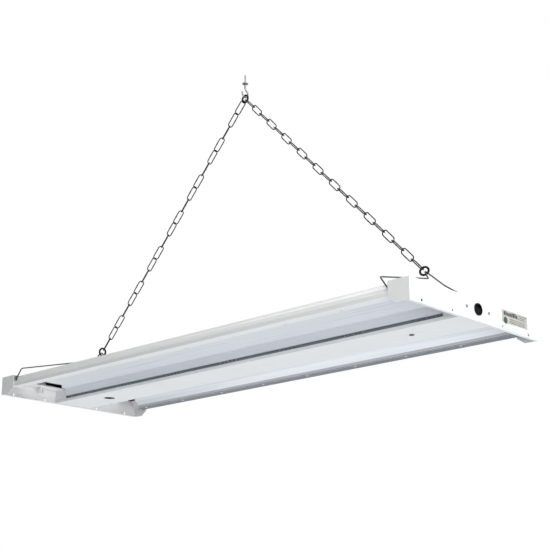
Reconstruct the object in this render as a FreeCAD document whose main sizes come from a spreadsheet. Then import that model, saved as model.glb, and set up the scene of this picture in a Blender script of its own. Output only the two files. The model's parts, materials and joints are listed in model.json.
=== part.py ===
import FreeCAD, Part
import math
import os
import re
import Sketcher

# Hanging two-tube fluorescent grow lamp: a white sheet-steel fixture with two reflector troughs
# either side of a ballast channel, carried by two wire hangers and a V of two chains on one
# ceiling hook.
#
# Frame: X runs along the lamp, Y across it (front is -Y), Z is up, and the origin is the point
# where the ceiling hook meets the ceiling.  Sub-parts are drawn with Z = 0 at the bottom edge of
# the end caps and are then lowered together by the hanging height.

Vector = FreeCAD.Vector
doc = FreeCAD.newDocument("GrowLamp")
sheet = doc.addObject("Spreadsheet::Sheet", "Dimensions")

DIMENSIONS = {
    # fixture envelope
    "fixture_length": 1200, "fixture_width": 406, "cap_height": 42,
    "steel": 1.0, "reflector_steel": 0.8, "fit_gap": 0.2,
    # end caps
    "cap_return": 47, "cap_chamfer_length": 17, "cap_chamfer_height": 11.5,
    "cap_hem": 8, "cap_hole_radius": 2.5, "cap_hole_height": 5.5,
    "cap_hole_inner": 79, "cap_hole_outer": 169, "cap_screw_offset": 35,
    "cap_screw_height": 22, "top_screw_inner": 60, "top_screw_outer": 140,
    "top_screw_inset": 10, "screw_radius": 1.6, "screw_hole_radius": 1.68,
    "screw_head_radius": 3.0, "screw_head_height": 1.6, "screw_length": 6,
    # housing
    "lip_height": 14.8, "lip_edge": 179, "knee_height": 22.4, "shoulder": 189,
    "knee_inset": 0.31, "shoulder_inset": 0.52,
    # reflectors
    "flange_outer": 199, "curve_start": 177.5, "curve_end": 137, "ceiling_height": 31,
    "ceiling_inner": 53, "leg_foot": 47.3, "leg_bottom": 15, "hem_edge": 44.4,
    "left_opening": 526, "right_opening": 540, "opening_outer": 148, "opening_inner": 62,
    "opening_corner": 86, "corner_cut": 10, "corner_cut_end": 566, "leg_end": 557,
    "reflector_end_gap": 3,
    "rivet_pitch": 138, "rivet_shift": 20, "rivet_line": 184, "rivet_radius": 1.6,
    "rivet_head_radius": 3.1, "rivet_head_height": 0.9, "rivet_tail": 2.2,
    # ballast cover
    "cover_bottom": 1.3, "cover_half_width": 48.5, "cover_shoulder": 8,
    "cover_recess": 43.4, "cover_rim": 24, "cover_end_gap": 3, "vent_radius": 1.6,
    "vent_height": 12.4, "vent_pitch": 11.5, "vent_group_pitch": 172.6, "knockout_radius": 13,
    "knockout_place": 451, "fastener_place": 450,
    # quarter-turn fastener and its catch
    "stud_radius": 1.6, "stud_hole_radius": 1.68, "stud_head_radius": 5,
    "stud_head_height": 1.2, "stud_slot": 1.2, "catch_floor": 7, "catch_half_width": 14,
    "catch_length": 20, "catch_foot": 8, "catch_slot_width": 4, "crossbar_length": 10,
    "crossbar_width": 2.4,
    "crossbar_height": 2, "crossbar_gap": 0.4,
    # lampholders
    "lamp_offset": 105, "lamp_axis_height": 22.5, "lamp_face": 574.5, "holder_thickness": 10,
    "holder_half_width": 7.5, "holder_top": 39.4, "holder_front_wall": 1.2,
    "rotor_radius": 5.42, "rotor_cavity_radius": 5.5, "rotor_thickness": 4,
    "rotor_boss_radius": 4.12, "rotor_opening_radius": 4.2, "pin_slot_width": 2.8,
    "contact_bay_width": 10, "contact_spacing": 4.75, "contact_thickness": 0.5,
    "contact_width": 2, "contact_length": 16, "contact_offset": 0.4,
    "holder_bracket_length": 38, "end_bracket_half_width": 43,
    "end_bracket_foot": 18, "end_bracket_bottom": 10,
    # ballast
    "ballast_length": 230, "ballast_width": 58, "ballast_bottom": 12, "ballast_steel": 0.8,
    "ballast_foot": 13, "lid_edge": 6, "board_end_gap": 8,
    "board_side_gap": 3, "ballast_screw_offset": 20, "board_height": 21, "board_thickness": 1.6,
    "terminal_length": 12, "terminal_inset": 7, "terminal_width": 40, "terminal_bottom": 23,
    "terminal_height": 11,
    "terminal_port_pitch": 7.5, "choke_place": 60, "choke_length": 28, "choke_width": 24,
    "choke_height": 14, "film_place": 32, "film_offset": 10, "film_radius": 6, "film_height": 13,
    "bulk_radius": 8, "bulk_offset": 6, "bulk_height": 15, "sink_length": 40, "sink_offset": 24,
    "sink_thickness": 3, "sink_height": 13,
    # switch, cord bushing, label
    "switch_height": 22.5, "switch_hole_radius": 10, "switch_body_radius": 9.8,
    "switch_bezel_radius": 11.5, "switch_bezel_height": 2.2, "switch_body_depth": 17,
    "switch_recess_radius": 8.7, "switch_recess_depth": 6.5, "blade_spacing": 6,
    "blade_length": 7, "blade_width": 4.8, "blade_thickness": 0.8, "rocker_radius": 8.3,
    "rocker_tilt": 10, "rocker_crest": 2.6, "rocker_slope": 1.5, "rocker_base": 1.5,
    "bushing_hole_radius": 11.1, "bushing_flange_radius": 13.5,
    "bushing_flange_height": 2, "bushing_bore_radius": 7, "bushing_depth": 11,
    "label_start": 79, "label_width": 86, "label_bottom": 14.5, "label_height": 25,
    "label_thickness": 0.2, "sticker_radius": 6.5, "sticker_offset": 11, "sticker_rise": 5,
    # wire hangers
    "hanger_wire_radius": 1.4, "hanger_base_place": 558, "hanger_base_height": 20,
    "hanger_lean": 35.8, "hanger_foot_height": 29.5, "hanger_leg": 199,
    "hanger_foot_reach": 13, "hanger_contact": 115.1, "hanger_peak_place": -2,
    "hanger_peak": 123.7, "hanger_dip_place": -10.5, "hanger_dip": 97.5,
    "hanger_far_place": 37, "hanger_far": 92, "hanger_shoulder": 43,
    "hanger_shoulder_inset": 2, "hanger_foot_bend": 2, "hanger_shoulder_bend": 6,
    "hanger_dip_bend": 3, "hanger_peak_bend": 5, "hanger_far_bend": 14,
    "hanger_hole_radius": 1.8,
    # rings, chains and ceiling hook
    "ring_radius": 8.7, "ring_wire_radius": 2.2, "ring_turn": 20, "hook_gap": 0.3,
    "apex_height": 636, "link_count": 21, "link_wire_radius": 1.15,
    "link_width": 14.5, "link_gap": 0.3, "hook_wire_radius": 2, "hook_bend": 9,
    "hook_neck_bend": 6, "hook_shank": 12, "hook_collar_radius": 7, "hook_collar_height": 1.5,
    "hook_screw_length": 25, "hook_thread_pitch": 2, "hook_thread_depth": 0.6,
    # wiring
    "lead_radius": 1.1, "lead_spacing": 3, "lead_height": 36, "lead_channel_offset": 33,
    "lead_bend": 12, "lead_last_bend": 20, "lead_run_in": 14, "lead_fan": 48, "mains_height": 26,
    "mains_lane": 33, "mains_lane_pitch": 4, "mains_tail": 30, "mains_straight": 500, "mains_bend": 30,
    "ground_place": 250,
}

for row, (alias, value) in enumerate(DIMENSIONS.items(), start=1):
    sheet.set(f"A{row}", alias)
    sheet.set(f"B{row}", str(value))
    sheet.setAlias(f"B{row}", alias)
doc.recompute()


def linked(expression):
    """The same formula with each dimension's name led back to the spreadsheet."""
    def lead_back(word):
        return "Dimensions." + word.group(0) if word.group(0) in DIMENSIONS else word.group(0)

    return re.sub(r"[a-z_]+", lead_back, str(expression))


def size(expression):
    """The value of a formula of spreadsheet dimensions, in millimetres or degrees."""
    return float(sheet.evalExpression(str(expression)))


# Heights and places that several sub-parts share, as formulas.  A cutter reaches OVERSHOOT past
# each face of the sheet that it pierces.
HOUSING_HALF = "(fixture_width / 2 - steel - fit_gap)"
HOUSING_TOP = "(cap_height - steel - fit_gap)"
HOUSING_END = "(fixture_length / 2 - steel - fit_gap)"
PANEL_FACE = "(fixture_length / 2)"
FLANGE_BOTTOM = "(lip_height + steel + 0.1)"
OVERSHOOT = "5"
OPENING_STARTS = ((-1, "left_opening"), (1, "right_opening"))


# ---------------------------------------------------------------- building blocks

def place(item, x="0", y="0", z="0"):
    """Binds a primitive's position to formulas."""
    for axis, formula in zip("xyz", (x, y, z)):
        item.setExpression(f"Placement.Base.{axis}", linked(formula))


def box(name, low, extent):
    """A box from its low corner and its extent, both as formulas."""
    item = doc.addObject("Part::Box", name)
    for side, formula in zip(("Length", "Width", "Height"), extent):
        item.setExpression(side, linked(formula))
    place(item, *low)
    return item


def rod(name, radius, length, start, axis="z"):
    """A cylinder that grows from its start point along +X, +Y or +Z."""
    item = doc.addObject("Part::Cylinder", name)
    turns = {
        "x": FreeCAD.Rotation(Vector(0, 1, 0), 90),
        "y": FreeCAD.Rotation(Vector(1, 0, 0), -90),
        "z": FreeCAD.Rotation(),
    }
    item.Placement = FreeCAD.Placement(Vector(), turns[axis])
    item.setExpression("Radius", linked(radius))
    item.setExpression("Height", linked(length))
    place(item, *start)
    return item


def fused(name, pieces):
    item = doc.addObject("Part::MultiFuse", name)
    item.Shapes = pieces
    item.Refine = True
    return item


def cut(name, base, tools):
    """A solid with one or more tools taken away."""
    item = doc.addObject("Part::Cut", name)
    item.Base = base
    if len(tools) == 1:
        item.Tool = tools[0]
    else:
        item.Tool = doc.addObject("Part::Compound", name + "_cutters")
        item.Tool.Links = tools
    return item


def group(name, pieces):
    """Separate solids that share one node."""
    item = doc.addObject("Part::Compound", name)
    item.Links = pieces
    return item


def made(name, shape):
    """A sub-part whose form comes from Part's own functions."""
    item = doc.addObject("Part::Feature", name)
    item.Shape = shape
    return item


def arc_edge(first, last, radius):
    """An arc that bulges upward between two sketch points, and whether it was turned round."""
    middle = (first + last) / 2
    half = (last - first).Length / 2
    across = Vector(-(last - first).y, (last - first).x, 0).normalize()
    if across.y > 0:
        across = across * -1
    centre = middle + across * math.sqrt(radius ** 2 - half ** 2)
    angles = [math.atan2((p - centre).y, (p - centre).x) for p in (first, last)]
    turned = angles[0] > angles[1]
    circle = Part.Circle(centre, Vector(0, 0, 1), radius)
    return Part.ArcOfCircle(circle, min(angles), max(angles)), turned


def padded(name, plane, outline, length, arcs=None, symmetric=True):
    """A PartDesign body: one closed outline of formula points, padded square to its plane.

    arcs gives, for the edge that leaves a point, the formula of its radius."""
    arcs = arcs or {}
    body = doc.addObject("PartDesign::Body", name)
    sketch = body.newObject("Sketcher::SketchObject", name + "_outline")
    origin_plane = [item for item in body.Origin.OriginFeatures if item.Role == plane][0]
    sketch.AttachmentSupport = [(origin_plane, "")]
    sketch.MapMode = "FlatFace"
    corners = [Vector(size(u), size(v), 0) for u, v in outline]
    ends = []
    for index, corner in enumerate(corners):
        following = corners[(index + 1) % len(corners)]
        if index in arcs:
            edge, turned = arc_edge(corner, following, size(arcs[index]))
        else:
            edge, turned = Part.LineSegment(corner, following), False
        sketch.addGeometry(edge)
        ends.append((2, 1) if turned else (1, 2))
    for index in range(len(corners)):
        following = (index + 1) % len(corners)
        sketch.addConstraint(Sketcher.Constraint(
            "Coincident", index, ends[index][1], following, ends[following][0]))
    for index, formulas in enumerate(outline):
        for kind, formula in zip(("DistanceX", "DistanceY"), formulas):
            number = sketch.addConstraint(Sketcher.Constraint(
                kind, -1, 1, index, ends[index][0], size(formula)))
            sketch.setExpression(f"Constraints[{number}]", linked(formula))
    for index, formula in arcs.items():
        number = sketch.addConstraint(Sketcher.Constraint("Radius", index, size(formula)))
        sketch.setExpression(f"Constraints[{number}]", linked(formula))
    pad = body.newObject("PartDesign::Pad", name + "_pad")
    pad.Profile = sketch
    pad.SideType = "Symmetric" if symmetric else "One side"
    pad.setExpression("Length", linked(length))
    body.Tip = pad
    return body


def rounded_path(points, bends):
    """Straight runs through the points, joined by tangent arcs of the given radii."""
    edges = []
    start = points[0]
    for before, corner, after, bend in zip(points, points[1:], points[2:], bends):
        incoming = (corner - before).normalize()
        outgoing = (after - corner).normalize()
        turn = incoming.getAngle(outgoing)
        trim = bend * math.tan(turn / 2)
        enter = corner - incoming * trim
        leave = corner + outgoing * trim
        inward = (outgoing - incoming).normalize()
        crown = corner + inward * (bend / math.cos(turn / 2) - bend)
        edges.append(Part.LineSegment(start, enter).toShape())
        edges.append(Part.Arc(enter, crown, leave).toShape())
        start = leave
    edges.append(Part.LineSegment(start, points[-1]).toShape())
    return Part.Wire(edges)


def tube(path, radius):
    """A round wire swept along a path."""
    first = path.OrderedEdges[0]
    start = first.valueAt(first.FirstParameter)
    ring = Part.Circle(start, first.tangentAt(first.FirstParameter), radius)
    return path.makePipeShell([Part.Wire(ring.toShape())], True, False)


def side_name(side):
    return "right" if side > 0 else "left"


def row_name(row):
    return "rear" if row > 0 else "front"


def along(side, near, far):
    """Low corner and extent in X of a span between two distances from the middle."""
    low = near if side > 0 else f"-({far})"
    return low, f"{far} - {near}"


def across(row, near, far):
    """Low corner and extent in Y of a span between two distances from the middle."""
    return along(row, near, far)


# ---------------------------------------------------------------- housing

def make_housing():
    """Long folded tray, open below, with sloping shoulders and an inward lip along each side."""
    half, top = HOUSING_HALF, HOUSING_TOP
    right = [
        ("lip_edge", "lip_height"), (half, "lip_height"), (half, "knee_height"),
        ("shoulder", top),
    ]
    inner = [
        ("shoulder - shoulder_inset * steel", f"{top} - steel"),
        (f"{half} - steel", "knee_height - knee_inset * steel"),
        (f"{half} - steel", "lip_height + steel"), ("lip_edge", "lip_height + steel"),
    ]
    mirrored = [(f"-({u})", v) for u, v in reversed(right)]
    inner_left = [(f"-({u})", v) for u, v in reversed(inner)]
    shell = padded("housing_shell", "YZ_Plane", right + mirrored + inner_left + inner,
                   f"2 * {HOUSING_END}")
    holes = []
    for row in (-1, 1):
        for count in range(-4, 4):
            holes.append(rod("lip_rivet_hole", "rivet_radius + 0.05", "steel + 2",
                             (rivet_place(count), f"{row} * rivet_line", "lip_height - 1")))
        for side in (-1, 1):
            holes.append(rod("hanger_hole", "hanger_hole_radius", "30",
                             (f"{side} * {hanger_place('hanger_foot_height')}",
                              f"{row} * shoulder - 15", "hanger_foot_height"), "y"))
    for side in (-1, 1):
        for offset in top_screw_rows():
            holes.append(rod("top_screw_hole", "screw_hole_radius", "6",
                             (f"{side} * ({PANEL_FACE} - top_screw_inset)", offset,
                              f"{top} - 3")))
        for row in (-1, 1):
            holes.append(rod("ballast_screw_hole", "screw_hole_radius", "6",
                             (f"{side} * (ballast_length + ballast_foot) / 2",
                              f"{row} * ballast_screw_offset", f"{top} - 3")))
    holes.append(rod("ground_screw_hole", "screw_hole_radius", "6",
                     ("-ground_place", "0", f"{top} - 3")))
    for side, opening in OPENING_STARTS:
        for row in (-1, 1):
            holes.append(corner_cutter(side, row, opening, "lip_height - steel", "2 * steel"))
    return cut("housing", shell, holes)


def rivet_place(count):
    return f"({count} * rivet_pitch + rivet_shift)"


def top_screw_rows():
    return ["-top_screw_outer", "-top_screw_inner", "top_screw_inner", "top_screw_outer"]


def hanger_place(height):
    """Distance from the middle of the leaning hanger's plane at a given height."""
    return f"(hanger_base_place - ({height} - hanger_base_height) * tan(hanger_lean))"


# ---------------------------------------------------------------- end caps and brackets

def make_end_cap(side):
    """End panel with side returns, a top flange and a bottom hem, all from one sheet."""
    name = side_name(side) + "_end_cap"
    inner_face = f"({PANEL_FACE} - steel)"
    half = "(fixture_width / 2)"
    panel_x = along(side, inner_face, PANEL_FACE)
    return_x = along(side, f"({PANEL_FACE} - cap_return)", PANEL_FACE)
    hem_x = along(side, f"({PANEL_FACE} - cap_hem)", PANEL_FACE)
    walls = [
        box("cap_panel", (panel_x[0], f"-{half}", "0"), (panel_x[1], "fixture_width", "cap_height")),
        box("cap_top", (return_x[0], f"-{half}", "cap_height - steel"),
            (return_x[1], "fixture_width", "steel")),
        box("cap_hem", (hem_x[0], f"-{half}", "0"), (hem_x[1], "fixture_width", "steel")),
    ]
    for row in (-1, 1):
        wall_y = across(row, f"({half} - steel)", half)
        walls.append(box("cap_return", (return_x[0], wall_y[0], "0"),
                         (return_x[1], wall_y[1], "cap_height")))
    solid = fused(name + "_sheet", walls)
    edge = f"({PANEL_FACE} - cap_return)"
    chamfer = padded(name + "_chamfer", "XZ_Plane", [
        (f"{side} * ({edge} - {OVERSHOOT})", f"-{OVERSHOOT}"),
        (f"{side} * ({edge} + cap_chamfer_length)", f"-{OVERSHOOT}"),
        (f"{side} * ({edge} + cap_chamfer_length)", "0"),
        (f"{side} * {edge}", "cap_chamfer_height"),
        (f"{side} * ({edge} - {OVERSHOOT})", "cap_chamfer_height"),
    ], f"fixture_width + 2 * {OVERSHOOT}")
    start = f"{side} * {PANEL_FACE} - {OVERSHOOT}"
    holes = [chamfer]
    for offset in ("cap_hole_inner", "cap_hole_outer"):
        for row in (-1, 1):
            holes.append(rod("panel_hole", "cap_hole_radius", f"2 * {OVERSHOOT}",
                             (start, f"{row} * {offset}", "cap_hole_height"), "x"))
    for row in (-1, 1):
        holes.append(rod("panel_screw_hole", "screw_hole_radius", f"2 * {OVERSHOOT}",
                         (start, f"{row} * cap_screw_offset", "cap_screw_height"), "x"))
    for offset in top_screw_rows():
        holes.append(rod("flange_screw_hole", "screw_hole_radius", "6",
                         (f"{side} * ({PANEL_FACE} - top_screw_inset)", offset, "cap_height - 3")))
    fitting_radius = "switch_hole_radius" if side > 0 else "bushing_hole_radius"
    holes.append(rod("fitting_hole", fitting_radius, f"2 * {OVERSHOOT}",
                     (start, "0", "switch_height"), "x"))
    return cut(name, solid, holes)


def make_end_bracket(side):
    """Angle inside the housing that the end cap's two middle screws pull against."""
    name = side_name(side) + "_end_bracket"
    top = f"({HOUSING_TOP} - steel)"
    leg_x = along(side, f"({HOUSING_END} - steel)", HOUSING_END)
    foot_x = along(side, f"({HOUSING_END} - end_bracket_foot)", HOUSING_END)
    angle = fused(name + "_sheet", [
        box("bracket_leg", (leg_x[0], "-end_bracket_half_width", "end_bracket_bottom"),
            (leg_x[1], "2 * end_bracket_half_width", f"{top} - end_bracket_bottom")),
        box("bracket_foot", (foot_x[0], "-end_bracket_half_width", f"{top} - steel"),
            (foot_x[1], "2 * end_bracket_half_width", "steel")),
    ])
    start = f"{side} * {HOUSING_END} - {OVERSHOOT}"
    holes = [rod("bracket_fitting_hole", "bushing_hole_radius + 1", f"2 * {OVERSHOOT}",
                 (start, "0", "switch_height"), "x")]
    for row in (-1, 1):
        holes.append(rod("bracket_screw_hole", "screw_hole_radius", f"2 * {OVERSHOOT}",
                         (start, f"{row} * cap_screw_offset", "cap_screw_height"), "x"))
    return cut(name, angle, holes)


def make_holder_bracket(side, row):
    """Shelf across one trough end that carries a lampholder, with a leg beside the channel."""
    name = f"{row_name(row)}_{side_name(side)}_holder_bracket"
    shelf = "reflector_steel"
    shelf_x = along(side, f"({HOUSING_END} - holder_bracket_length)", HOUSING_END)
    shelf_y = across(row, "(cover_half_width + 0.1)", "opening_outer")
    flange_x = along(side, f"({HOUSING_END} - {shelf})", HOUSING_END)
    leg_x = along(side, "leg_end", HOUSING_END)
    leg_y = across(row, f"(cover_half_width + 0.1 - {shelf})", "(cover_half_width + 0.1)")
    sheet_solid = fused(name + "_sheet", [
        box("shelf", (shelf_x[0], shelf_y[0], "ceiling_height - reflector_steel"),
            (shelf_x[1], shelf_y[1], shelf)),
        box("shelf_flange", (flange_x[0], shelf_y[0], "ceiling_height - reflector_steel"),
            (flange_x[1], shelf_y[1], f"{HOUSING_TOP} - steel - 0.2 - ceiling_height + {shelf}")),
        box("channel_leg", (leg_x[0], leg_y[0], "cover_shoulder + 0.4"),
            (leg_x[1], leg_y[1], "ceiling_height - cover_shoulder - 0.4")),
    ])
    slot_x = along(side, "(lamp_face - 0.1)", "(lamp_face + holder_thickness + 0.1)")
    slot = box("holder_slot", (slot_x[0], f"{row} * lamp_offset - holder_half_width - 0.1",
                               "ceiling_height - 5"),
               (slot_x[1], "2 * holder_half_width + 0.2", "10"))
    return cut(name, sheet_solid, [slot])


# ---------------------------------------------------------------- reflectors and ballast cover

def make_reflector(row):
    """Trough sheet: riveted flange, curved outer wall, flat ceiling, sloping leg and hem."""
    name = row_name(row) + "_reflector"
    thick = "reflector_steel"
    rise = f"(ceiling_height - {FLANGE_BOTTOM})"
    run = "(curve_start - curve_end)"
    radius = f"(({run} * {run} + {rise} * {rise}) / (2 * {rise}))"
    outline = [
        (f"{row} * flange_outer", FLANGE_BOTTOM),
        (f"{row} * curve_start", FLANGE_BOTTOM),
        (f"{row} * curve_end", "ceiling_height"),
        (f"{row} * ceiling_inner", "ceiling_height"),
        (f"{row} * leg_foot", "leg_bottom"),
        (f"{row} * hem_edge", "leg_bottom"),
        (f"{row} * hem_edge", f"leg_bottom + {thick}"),
        (f"{row} * (leg_foot - {thick})", f"leg_bottom + {thick}"),
        (f"{row} * (ceiling_inner - {thick})", f"ceiling_height + {thick}"),
        (f"{row} * curve_end", f"ceiling_height + {thick}"),
        (f"{row} * (curve_start + {thick} * 0.5)", f"{FLANGE_BOTTOM} + {thick}"),
        (f"{row} * flange_outer", f"{FLANGE_BOTTOM} + {thick}"),
    ]
    shell = padded(name + "_sheet", "YZ_Plane", outline,
                   "fixture_length - 2 * reflector_end_gap",
                   arcs={1: radius, 9: f"({radius} + {thick})"})
    tools = []
    for side, opening in OPENING_STARTS:
        mouth = padded("end_opening", "XY_Plane", [
            (f"{side} * {opening}", f"{row} * opening_outer"),
            (f"{side} * {opening}", f"{row} * opening_corner"),
            (f"{side} * leg_end", f"{row} * opening_inner"),
            (f"{side} * {PANEL_FACE}", f"{row} * opening_inner"),
            (f"{side} * {PANEL_FACE}", f"{row} * opening_outer"),
        ], "3 * ceiling_height")
        tools += [mouth, corner_cutter(side, row, opening, "0", "ceiling_height + 2 * steel")]
        leg_x = along(side, "leg_end", "(fixture_length / 2)")
        leg_y = across(row, "hem_edge - 1", "opening_inner + 1")
        tools.append(box("leg_end_cut", (leg_x[0], leg_y[0], "leg_bottom - 5"),
                         (leg_x[1], "opening_inner - hem_edge + 2", "30")))
    for count in range(-4, 4):
        tools.append(rod("flange_rivet_hole", "rivet_radius + 0.05", "6",
                         (rivet_place(count), f"{row} * rivet_line", "lip_height")))
    return cut(name, shell, tools)


def corner_cutter(side, row, opening, bottom, height):
    """Prism that clears the underside of a trough's outer corner, inside the end cap."""
    outer = f"({HOUSING_HALF} - steel)"
    prism = padded("corner_cutter", "XY_Plane", [
        (f"{side} * ({opening} + corner_cut)", f"{row} * (opening_outer - steel)"),
        (f"{side} * {PANEL_FACE}", f"{row} * (opening_outer - steel)"),
        (f"{side} * {PANEL_FACE}", f"{row} * {outer}"),
        (f"{side} * corner_cut_end", f"{row} * {outer}"),
    ], height, symmetric=False)
    place(prism, z=bottom)
    return prism


def make_ballast_cover():
    """Shallow tray that closes the channel, with vent holes in the recess above its shoulder."""
    thick = "reflector_steel"
    right = [
        ("cover_half_width", "cover_bottom"), ("cover_half_width", "cover_shoulder"),
        (f"cover_recess + {thick}", "cover_shoulder"), (f"cover_recess + {thick}", "cover_rim"),
        ("cover_recess", "cover_rim"), ("cover_recess", f"cover_shoulder - {thick}"),
        (f"cover_half_width - {thick}", f"cover_shoulder - {thick}"),
        (f"cover_half_width - {thick}", f"cover_bottom + {thick}"),
    ]
    left = [(f"-({u})", v) for u, v in reversed(right)]
    tray = padded("ballast_cover_sheet", "YZ_Plane", right + left,
                  "fixture_length - 2 * cover_end_gap")
    tools = [
        rod("knockout", "knockout_radius", "5", ("-knockout_place", "0", "cover_bottom - 1")),
        rod("stud_hole", "stud_hole_radius", "5", ("fastener_place", "0", "cover_bottom - 1")),
    ]
    for bank in range(-3, 4):
        for hole in range(-2, 3):
            spot = f"{bank} * vent_group_pitch + {hole} * vent_pitch"
            for row in (-1, 1):
                tools.append(rod("vent", "vent_radius", "6",
                                 (spot, f"{row} * cover_recess - 3", "vent_height"), "y"))
    return cut("ballast_cover", tray, tools)


def make_cover_catch():
    """Strap that hangs from the housing's top and receives the quarter-turn stud."""
    top = f"({HOUSING_TOP} - steel)"
    low_x = "fastener_place - catch_length / 2"
    legs = [box("catch_floor", (low_x, "-catch_half_width", "catch_floor"),
                ("catch_length", "2 * catch_half_width", "steel"))]
    for row in (-1, 1):
        leg_y = across(row, "(catch_half_width - steel)", "catch_half_width")
        foot_y = across(row, "(catch_half_width - steel)", "(catch_half_width + catch_foot)")
        legs.append(box("catch_leg", (low_x, leg_y[0], "catch_floor"),
                        ("catch_length", leg_y[1], f"{top} - catch_floor")))
        legs.append(box("catch_foot", (low_x, foot_y[0], f"{top} - steel"),
                        ("catch_length", foot_y[1], "steel")))
    strap = fused("cover_catch_strap", legs)
    slot = box("catch_slot", ("fastener_place - crossbar_length / 2 - 1",
                              "-catch_slot_width / 2", "catch_floor - 1"),
               ("crossbar_length + 2", "catch_slot_width", "steel + 2"))
    return cut("cover_catch", strap, [slot])


def make_cover_fastener():
    """Quarter-turn stud: slotted head under the cover and a crossbar above the catch."""
    bar_bottom = "(catch_floor + steel + crossbar_gap)"
    stud = fused("cover_fastener_blank", [
        rod("stud_head", "stud_head_radius", "stud_head_height",
            ("fastener_place", "0", "cover_bottom - stud_head_height - 0.05")),
        rod("stud", "stud_radius", f"{bar_bottom} + crossbar_height - cover_bottom + 0.5",
            ("fastener_place", "0", "cover_bottom - 0.5")),
        box("crossbar", ("fastener_place - crossbar_width / 2", "-crossbar_length / 2", bar_bottom),
            ("crossbar_width", "crossbar_length", "crossbar_height")),
    ])
    slot = box("driver_slot", ("fastener_place - stud_slot / 2", "-stud_head_radius - 1",
                               "cover_bottom - stud_head_height - 1"),
               ("stud_slot", "2 * stud_head_radius + 2", "1.6"))
    return cut("cover_fastener", stud, [slot])


# ---------------------------------------------------------------- lampholders

def make_lampholder(side, row):
    """Push-up holder body with a rotor cavity, a pin slot and a contact bay behind."""
    name = f"{row_name(row)}_{side_name(side)}_lampholder"
    centre_y = f"({row} * lamp_offset)"
    half = "holder_half_width"
    body = padded(name + "_body", "YZ_Plane", [
        (f"{centre_y} - {half}", "holder_top"), (f"{centre_y} + {half}", "holder_top"),
        (f"{centre_y} + {half}", "lamp_axis_height"),
        (f"{centre_y} + 0.6 * {half}", "lamp_axis_height - 0.8 * holder_half_width"),
        (f"{centre_y} - 0.6 * {half}", "lamp_axis_height - 0.8 * holder_half_width"),
        (f"{centre_y} - {half}", "lamp_axis_height"),
    ], "holder_thickness", symmetric=True)
    place(body, f"{side} * (lamp_face + holder_thickness / 2)")

    def from_face(near, far):
        return along(side, f"(lamp_face + {near})", f"(lamp_face + {far})")

    cavity_x = from_face("holder_front_wall", "(holder_front_wall + rotor_thickness + 0.2)")
    mouth_x = from_face("(-1)", "(holder_front_wall + 1)")
    slot_x = from_face("(-1)", "(holder_front_wall + rotor_thickness + 0.2)")
    bay_x = from_face("(holder_front_wall + rotor_thickness + 0.2)", "(holder_thickness - 0.8)")
    centre = (centre_y, "lamp_axis_height")
    tools = [
        rod("rotor_cavity", "rotor_cavity_radius", cavity_x[1], (cavity_x[0],) + centre, "x"),
        rod("rotor_mouth", "rotor_opening_radius", mouth_x[1], (mouth_x[0],) + centre, "x"),
        box("pin_slot", (slot_x[0], f"{centre_y} - pin_slot_width / 2", "lamp_axis_height - 12"),
            (slot_x[1], "pin_slot_width", "12")),
        box("contact_bay", (bay_x[0], f"{centre_y} - contact_bay_width / 2",
                            "lamp_axis_height - 4"),
            (bay_x[1], "contact_bay_width", "holder_top - lamp_axis_height + 5")),
    ]
    return cut(name, body, tools)


def make_rotor(side, row):
    """Disc with a boss and a through slot for the lamp's two pins."""
    name = f"{row_name(row)}_{side_name(side)}_rotor"
    centre = (f"{row} * lamp_offset", "lamp_axis_height")
    disc_x = along(side, "(lamp_face + holder_front_wall + 0.1)",
                   "(lamp_face + holder_front_wall + 0.1 + rotor_thickness)")
    boss_x = along(side, "(lamp_face + 0.1)", "(lamp_face + holder_front_wall + 1)")
    blank = fused(name + "_blank", [
        rod("rotor_disc", "rotor_radius", disc_x[1], (disc_x[0],) + centre, "x"),
        rod("rotor_boss", "rotor_boss_radius", boss_x[1], (boss_x[0],) + centre, "x"),
    ])
    slot_x = along(side, "(lamp_face - 1)", "(lamp_face + holder_front_wall + 3)")
    slot = box("rotor_slot", (slot_x[0], f"{row} * lamp_offset - pin_slot_width / 2",
                              "lamp_axis_height - 8"),
               (slot_x[1], "pin_slot_width", "16"))
    return cut(name, blank, [slot])


def make_contacts(side, row):
    """Two brass springs behind the rotor, one for each lamp pin."""
    strips = []
    spring_x = along(side, "(lamp_face + 7)", "(lamp_face + 7 + contact_thickness)")
    for pin in (-1, 1):
        strips.append(box("contact", (
            spring_x[0], f"{row} * lamp_offset + {pin} * (contact_spacing / 2 + contact_offset)"
                         " - contact_width / 2", "lamp_axis_height - 3"),
            (spring_x[1], "contact_width", "contact_length")))
    return group(f"{row_name(row)}_{side_name(side)}_contacts", strips)


# ---------------------------------------------------------------- ballast

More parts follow.
